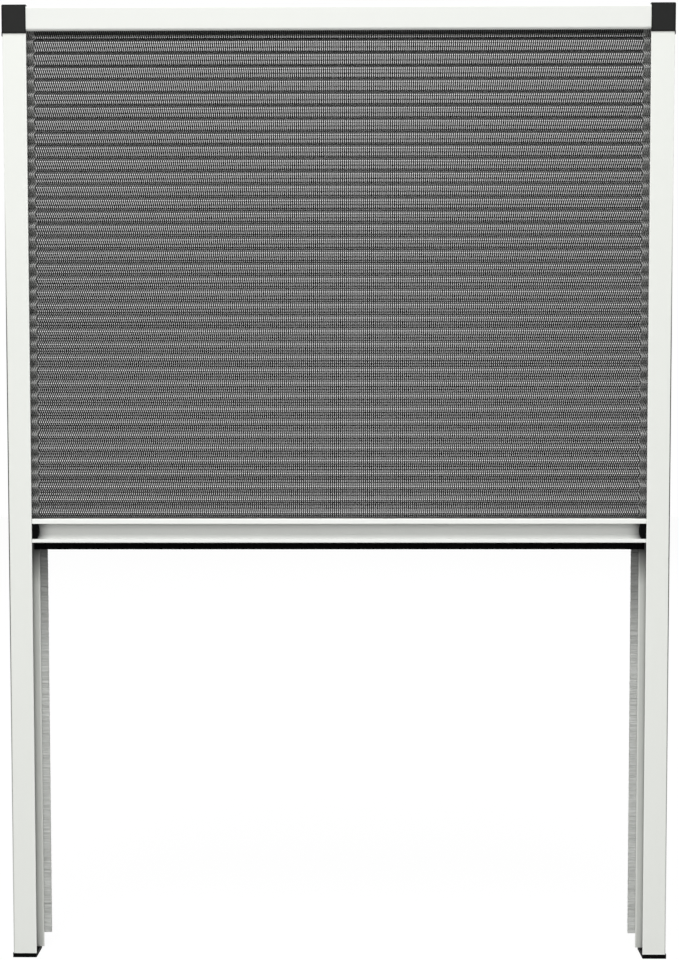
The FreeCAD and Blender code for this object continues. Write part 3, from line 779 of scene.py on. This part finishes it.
@dataclass
class PleatedNet:
    """The woven net that hangs in pleats from the top clip to the clip in the pull bar."""

    pleats: int = 38
    facet: float = 18.0 * MM
    low_end: float = 0.0
    high_end: float = 0.0
    near_y: float = 0.0
    far_y: float = 0.0
    half_width: float = 0.0
    end_reach: float = 2.8 * MM
    warp_pitch: float = 2.5 * MM
    warp_width: float = 1.65 * MM
    warp_depth: float = 0.5 * MM
    wefts: int = 10
    weft_radius: float = 0.24 * MM
    crowding: float = 0.5
    crowds: float = 2.3
    fold_gap: float = 0.10
    unevenness: float = 0.02 * MM
    weft_unevenness: float = 0.06 * MM
    band_pleats: tuple[int, ...] = (1, 2, 4, 8, 8, 8, 4, 2, 1)
    first_weight: float = 0.002

    def measure(self) -> None:
        """Take the net's limits from the folded sheet that it replaces."""
        low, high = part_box("pleated_mesh")
        self.low_end, self.high_end = low.z, high.z
        self.half_width = high.x
        thickness = (high.y - low.y) - self.pleat_depth()
        self.near_y = low.y + thickness / 2
        self.far_y = high.y - thickness / 2

    def pitch(self) -> float:
        """Return the height of one pleat."""
        return (self.high_end - self.low_end) / self.pleats

    def pleat_depth(self) -> float:
        """Return how deep the pleats are."""
        return math.sqrt(self.facet ** 2 - (self.pitch() / 2) ** 2)

    def lowest_fold(self) -> float:
        """Return the height of the far fold below the first pleat."""
        return self.low_end - self.end_reach * self.pitch() / 2 / self.pleat_depth()

    def recipe(self) -> Recipe:
        """Build the tree for a band of pleats: warps that follow the folds, and wefts across them."""
        tree = Recipe("net_band")
        near, far = tree.size("Near fold"), tree.size("Far fold")
        lowest, pitch = tree.size("Lowest fold"), tree.size("Pleat pitch")
        low_end, high_end = tree.size("Low end"), tree.size("High end")
        half_width = tree.size("Half width")
        warp_pitch, warp_width = tree.size("Warp pitch"), tree.size("Warp width")
        warp_depth, uneven = tree.size("Warp depth"), tree.size("Unevenness")
        weft_uneven = tree.size("Weft unevenness")
        wefts, radius = tree.size("Wefts"), tree.size("Weft radius")
        crowding, crowds, gap = tree.size("Crowding"), tree.size("Crowds"), tree.size("Fold gap")
        first, folds = tree.size("First facet"), tree.size("Facets", whole=True)
        last_points = tree.size("Fold points", whole=True)

        def depth_at(z: Num) -> Num:
            """Return Y on the folded sheet at a height."""
            return near + (far - near) * (((z - lowest) / pitch % 1.0) * 2.0 - 1.0).size()

        fold_z = (lowest + (first + tree.index()) * pitch / 2.0).at_least(low_end).at_most(high_end)
        line = tree.points(last_points, tree.vector(0.0, depth_at(fold_z), fold_z))
        curve = tree.node("GeometryNodeMeshToCurve", None, {"Mesh": line}).outputs[0]
        section = tree.node("GeometryNodeCurvePrimitiveQuadrilateral", None,
                            {"Width": warp_width, "Height": warp_depth}).outputs[0]
        warp = tree.node("GeometryNodeCurveToMesh", None,
                         {"Curve": curve, "Profile Curve": section, "Fill Caps": True}).outputs[0]
        half_count = ((half_width - warp_width / 2.0) / warp_pitch).floor()
        warp_x = (tree.index() - half_count) * warp_pitch + uneven * tree.random(-1.0, 1.0, WARP_SEED)
        warps = tree.scatter(tree.points(2.0 * half_count + 1.0, tree.vector(warp_x, 0.0, 0.0)), warp)

        number = tree.index()
        facet = (number / wefts).floor()
        even_share = (number - facet * wefts + 0.5) / wefts * (1.0 - gap)
        turn = crowds * 2.0 * math.pi
        share = even_share - crowding * tree.maths("SINE", even_share * turn) / turn
        odd = (first + facet) % 2.0
        lean = share + odd * (1.0 - 2.0 * share)
        weft_z = lowest + (first + facet + lean) * pitch / 2.0
        weft_z = weft_z + weft_uneven * tree.random(-1.0, 1.0, WEFT_SEED)
        inside = (weft_z > low_end + radius) * (weft_z < high_end - radius)
        rod = tree.node("GeometryNodeMeshCylinder", None,
                        {"Vertices": 6, "Radius": radius, "Depth": 2.0 * half_width}).outputs[0]
        rod = tree.moved(rod, {"Rotation": (0.0, math.pi / 2, 0.0)})
        places = tree.points(wefts * folds, tree.vector(0.0, depth_at(weft_z), weft_z))
        tree.close([warps, tree.scatter(places, rod, {"Selection": inside})])
        return tree

    def weight_limits(self, low: float, high: float) -> tuple[float, float]:
        """Return the heights between which one band turns from the frame to the bar.

        Args:
            low: the height of the band's lower end.
            high: the height of its upper end.

        Returns:
            The heights where the weight starts to rise, and where it is full.
        """
        whole = self.high_end - self.low_end

        def along(z: float) -> float:
            """Return the place on the S curve that gives a height its even weight."""
            weight = (self.high_end - z) / whole
            weight = min(max(weight, self.first_weight), 1 - self.first_weight)
            return 0.5 - math.sin(math.asin(1 - 2 * weight) / 3)

        length = (high - low) / (along(low) - along(high))
        start = high + along(high) * length
        return start, start - length

    def build(self, material: bpy.types.Material) -> None:
        """Grow the net band by band.

        Args:
            material: the thread.
        """
        self.measure()
        tree = self.recipe()
        lowest, pitch = self.lowest_fold(), self.pitch()
        done = 0
        for number, pleats in enumerate(self.band_pleats, start=1):
            last = done + pleats == self.pleats
            band = tree.grow(f"net_band_{number}", {
                "Near fold": self.near_y, "Far fold": self.far_y, "Lowest fold": lowest,
                "Pleat pitch": pitch, "Low end": self.low_end, "High end": self.high_end,
                "Half width": self.half_width, "Warp pitch": self.warp_pitch,
                "Warp width": self.warp_width, "Warp depth": self.warp_depth,
                "Unevenness": self.unevenness, "Weft unevenness": self.weft_unevenness,
                "Wefts": float(self.wefts),
                "Weft radius": self.weft_radius, "Crowding": self.crowding,
                "Crowds": self.crowds, "Fold gap": self.fold_gap, "First facet": float(2 * done),
                "Facets": 2 * pleats, "Fold points": 2 * pleats + (2 if last else 1),
            }, material)
            low = max(lowest + done * pitch, self.low_end)
            high = self.high_end if last else lowest + (done + pleats) * pitch
            start, end = self.weight_limits(low, high)
            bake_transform(band)
            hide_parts("pleated_mesh")
            LOG.info("%s: %d pleats, %d faces", band.name, pleats, len(band.data.polygons))
            done += pleats


@dataclass
class BrushPile:
    """A row of fibres that stands out of a backing, over a slimmer core."""

    node: str
    body: Body
    slot: Slot
    turn: Triple
    seed: int
    rows: int = 5
    pitch: float = 0.62 * MM
    fibre_radius: float = 0.34 * MM
    tip_share: float = 0.8
    shortest: float = 0.97
    lean: float = 0.02
    jitter: float = 0.4
    core_inset: float = 0.4 * MM
    core_share: float = 0.93
    twirl: ClassVar[float] = 100.0

    @staticmethod
    def recipe() -> Recipe:
        """Build the tree: fibres on a jittered grid, turned at random, with a core between them."""
        tree = Recipe("brush_pile")
        along, across, reach = tree.size("Along"), tree.size("Across"), tree.size("Reach")
        rows, seed = tree.size("Rows", whole=True), tree.size("Seed", whole=True)
        pitch, radius = tree.size("Pitch"), tree.size("Fibre radius")
        tip, shortest, lean = tree.size("Tip share"), tree.size("Shortest"), tree.size("Lean")
        jitter, inset, core_share = tree.size("Jitter"), tree.size("Core inset"), tree.size("Core share")
        turn = [tree.size("Turn " + axis) for axis in "XYZ"]
        place = [tree.size("Place " + axis) for axis in "XYZ"]
        grid = tree.node("GeometryNodeMeshGrid", None, {
            "Size X": along - 2.0 * radius, "Size Y": across - 2.0 * radius,
            "Vertices X": (along / pitch).floor(), "Vertices Y": rows}).outputs[0]
        offset = tree.random_vector((1.0, 1.0, 0.0), seed, pitch * jitter)
        points = tree.node("GeometryNodeSetPosition", None,
                           {"Geometry": grid, "Offset": offset}).outputs[0]
        fibre = tree.node("GeometryNodeMeshCone", None, {
            "Vertices": 3, "Radius Top": radius * tip, "Radius Bottom": radius,
            "Depth": reach}).outputs[0]
        stretch = tree.random(shortest, 1.0, seed + 1.0)
        leaning = tree.random_vector((1.0, 1.0, BrushPile.twirl), seed + 2.0, lean)
        fibres = tree.scatter(points, fibre, {
            "Rotation": leaning, "Scale": tree.vector(1.0, 1.0, stretch)})
        core_size = tree.vector(along - 4.0 * inset, across - 2.0 * inset, reach * core_share)
        core = tree.node("GeometryNodeMeshCube", None, {"Size": core_size}).outputs[0]
        core = tree.moved(core, {"Translation": tree.vector(0.0, 0.0, reach * core_share / 2.0)})
        tree.close([tree.moved(tree.join([fibres, core]), {
            "Rotation": tree.vector(*turn), "Translation": tree.vector(*place)})])
        return tree

    def build(self, tree: Recipe, material: bpy.types.Material) -> None:
        """Grow the pile in the space of its node.

        Args:
            tree: the brush recipe.
            material: the fibres.
        """
        low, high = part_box(self.node)
        middle, span = (low + high) / 2, high - low
        way = Matrix.Identity(3)
        for angle, axis in zip(self.turn, "XYZ"):
            way = Matrix.Rotation(angle, 3, axis) @ way
        out = way @ Vector((0, 0, 1))
        run = way @ Vector((1, 0, 0))
        reach = abs(span.dot(out))
        base = middle - out * reach / 2
        piece = tree.grow(self.node + "_fibres", {
            "Along": abs(span.dot(run)), "Across": span.y, "Reach": reach,
            "Rows": self.rows, "Pitch": self.pitch, "Fibre radius": self.fibre_radius,
            "Tip share": self.tip_share, "Shortest": self.shortest, "Lean": self.lean,
            "Jitter": self.jitter, "Core inset": self.core_inset, "Core share": self.core_share,
            "Seed": self.seed,
            "Turn X": self.turn[0], "Turn Y": self.turn[1], "Turn Z": self.turn[2],
            "Place X": base.x, "Place Y": base.y, "Place Z": base.z,
        }, material)
        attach(piece, self.body.value)
        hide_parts(self.node)
        LOG.info("%s: %d faces", piece.name, len(piece.data.polygons))


@dataclass
class Hardware:
    """The pieces whose shape is already right, each with its finish."""

    finishes: Mapping[str, Any] = field(default_factory=lambda: {
        Slot.PROFILE.value: PowderCoat(),
        Slot.PLASTIC.value: MouldedPlastic(),
        Slot.CLIP.value: ClipPlastic(),
        Slot.BACKING.value: WovenBacking(),
        Slot.GLIDER.value: SlidePlastic(),
        Slot.FELT.value: PressedFelt(),
        Slot.SCREW.value: ZincPlate(),
    })
    own_finishes: Mapping[tuple[str, ...], Any] = field(default_factory=lambda: {
        ("foot", "end_cap"): MouldedPlastic("deep_black_plastic", (0.0008, 0.0008, 0.0008),
                                            (0.0015, 0.0015, 0.0015), gloss=0.04),
        # The bar's coat carries painted shade in its grip recess.
        ("pull_bar",): PowderCoat("bar_coat", (0.93, 0.945, 0.91), grip_shade=0.34,
                                  grip_end_shade=0.5),
        # The top profile's front is painted darker, a painted shade.
        ("top_profile",): PowderCoat("top_coat", painted_front_light_colour=(0.80, 0.813, 0.779)),
    })

    def dress(self) -> None:
        """Give each shown node its own finish, or else the finish of its slot."""
        materials = {slot: finish.material() for slot, finish in self.finishes.items()}
        own = {endings: finish.material() for endings, finish in self.own_finishes.items()}
        for row in frame["record"]["subparts"]:
            material = materials.get(row["material_slot"])
            for endings, special in own.items():
                if row["node"].endswith(endings):
                    material = special
            node = frame["nodes"][row["node"]]
            if material is None:
                continue
            for slot in node.material_slots:
                slot.material = material
            LOG.info("%s: %s", row["node"], material.name)


@dataclass(frozen=True)
class Lamp:
    """A large square lamp."""

    name: str
    place: Triple
    aim: Triple
    size: float
    power: float

    def hang(self) -> None:
        """Hang the lamp, out of the camera's sight."""
        data = bpy.data.lights.new(self.name, "AREA")
        data.energy = self.power
        data.size = self.size
        lamp = bpy.data.objects.new(self.name, data)
        lamp.location = self.place
        aim = Vector(self.aim) - lamp.location
        lamp.rotation_euler = aim.to_track_quat("-Z", "Y").to_euler()
        lamp.visible_camera = False
        bpy.context.scene.collection.objects.link(lamp)


@dataclass
class Studio:
    """The pale floor, the soft light and the camera."""

    floor_size: float = 14.0
    floor_share: float = 0.94
    floor_grey: float = 0.41
    shown_grey: float = 1.0
    lamps: tuple[Lamp, ...] = (
        Lamp("high_lamp", place=(-0.2, -2.4, 5.5), aim=(0.0, 0.0, 0.3), size=2.6, power=190.0),
        Lamp("front_lamp", place=(-0.4, -2.9, 2.1), aim=(0.0, 0.0, 0.5), size=1.6, power=30.0),
        Lamp("back_lamp", place=(0.6, 3.4, 3.2), aim=(0.0, 0.0, 0.5), size=2.4, power=70.0),
    )
    world_high: float = 0.62
    world_low: float = 0.38
    lens: float = 57.56
    sensor: float = 36.0
    camera_place: Triple = (0.0189, -1.8626, 0.6841)
    camera_yaw: float = math.radians(-0.548)
    camera_pitch: float = math.radians(3.034)
    camera_roll: float = math.radians(-0.061)

    def build(self) -> None:
        """Set up the whole studio."""
        self.floor()
        for lamp in self.lamps:
            lamp.hang()
        self.world()
        self.camera()
        bpy.context.scene.view_settings.view_transform = "Standard"

    @staticmethod
    def seen(graph: Graph) -> Num:
        """Return 1 for the rays that show the background."""
        path = graph.node("ShaderNodeLightPath")
        shown = graph.number(path, "Is Camera Ray") + graph.number(path, "Is Glossy Ray")
        return (shown + graph.number(path, "Is Transmission Ray")).at_most(1.0)

    def floor(self) -> None:
        """Lay a white floor that still takes a soft shadow."""
        half = self.floor_size / 2
        corners = [(-half, -half, 0), (half, -half, 0), (half, half, 0), (-half, half, 0)]
        mesh = bpy.data.meshes.new("floor")
        mesh.from_pydata(corners, [], [(0, 1, 2, 3)])
        floor = bpy.data.objects.new("floor", mesh)
        bpy.context.scene.collection.objects.link(floor)
        graph = ShaderGraph("floor_paint")
        shown = self.seen(graph)
        grey = graph.blend(shown, (self.floor_grey,) * 3, (self.shown_grey,) * 3)
        paint = graph.node("ShaderNodeBsdfDiffuse", None, {"Color": grey})
        glow = graph.node("ShaderNodeEmission", None, {"Color": WHITE, "Strength": 1.0})
        mix = graph.node("ShaderNodeMixShader", None, {
            0: shown * self.floor_share, 1: paint.outputs[0], 2: glow.outputs[0]})
        graph.node("ShaderNodeOutputMaterial", None, {"Surface": mix.outputs[0]})
        mesh.materials.append(graph.material)

    def world(self) -> None:
        """Light the object from all round, a little more from above, before a white background."""
        world = bpy.data.worlds.new("studio")
        world.use_nodes = True
        bpy.context.scene.world = world
        graph = Graph(world.node_tree)
        world.node_tree.nodes.clear()
        way = graph.node("ShaderNodeTexCoord").outputs["Generated"]
        parts = graph.node("ShaderNodeSeparateXYZ", None, {0: way})
        height = graph.number(parts, 2).at_least(0.0)
        level = self.world_low + height * height * (self.world_high - self.world_low)
        soft = graph.node("ShaderNodeBackground", None, {"Color": WHITE, "Strength": level})
        white = graph.node("ShaderNodeBackground", None, {"Color": WHITE, "Strength": 1.0})
        mix = graph.node("ShaderNodeMixShader", None, {
            0: self.seen(graph), 1: soft.outputs[0], 2: white.outputs[0]})
        graph.node("ShaderNodeOutputWorld", None, {"Surface": mix.outputs[0]})

    def camera(self) -> None:
        """Place the camera at the photograph's viewpoint."""
        data = bpy.data.cameras.new("camera")
        data.lens = self.lens
        data.sensor_width = self.sensor
        yaw, pitch, roll = self.camera_yaw, self.camera_pitch, self.camera_roll
        ahead = Vector((math.sin(yaw), math.cos(yaw), 0))
        forward = ahead * math.cos(pitch) - Vector((0, 0, math.sin(pitch)))
        level = Vector((math.cos(yaw), -math.sin(yaw), 0))
        upright = level.cross(forward)
        right = level * math.cos(roll) + upright * math.sin(roll)
        up = upright * math.cos(roll) - level * math.sin(roll)
        turn = Matrix((right, up, -forward)).transposed()
        camera = bpy.data.objects.new("camera", data)
        camera.matrix_world = Matrix.Translation(self.camera_place) @ turn.to_4x4()
        bpy.context.scene.collection.objects.link(camera)
        bpy.context.scene.camera = camera


def brushes() -> list[BrushPile]:
    """Return the seal under the bar and the two brushes behind the rails."""
    quarter = math.pi / 2
    seal = BrushPile("seal_pile", Body.BAR, Slot.SEAL, (math.pi, 0.0, 0.0), SEAL_SEED)
    sides = [BrushPile(f"{side.name.lower()}_side_brush", Body.FRAME, Slot.BRUSH,
                       (0.0, -side.value * quarter, 0.0), BRUSH_SEED + side.value)
             for side in Side]
    return [seal, *sides]


def main() -> None:
    """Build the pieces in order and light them."""
    logging.basicConfig(level=logging.INFO, format="%(name)s %(message)s")
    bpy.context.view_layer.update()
    Hardware().dress()
    PleatedNet().build(CoatedThread().material())
    tree = BrushPile.recipe()
    piles = {
        Slot.SEAL: Pile("seal_fibres", (0.001, 0.001, 0.001), (0.004, 0.004, 0.004),
                        (1500.0, 1500.0, 60.0), gloss=0.04).material(),
        # The grey brushes carry a painted shadow towards the bar.
        Slot.BRUSH: Pile("brush_fibres", (0.55, 0.56, 0.54), (0.70, 0.71, 0.69),
                         (60.0, 1500.0, 1500.0), bar_shadow_share=0.66).material(),
    }
    for brush in brushes():
        brush.build(tree, piles[brush.slot])
    Studio().build()


if __name__ == "__main__":
    main()
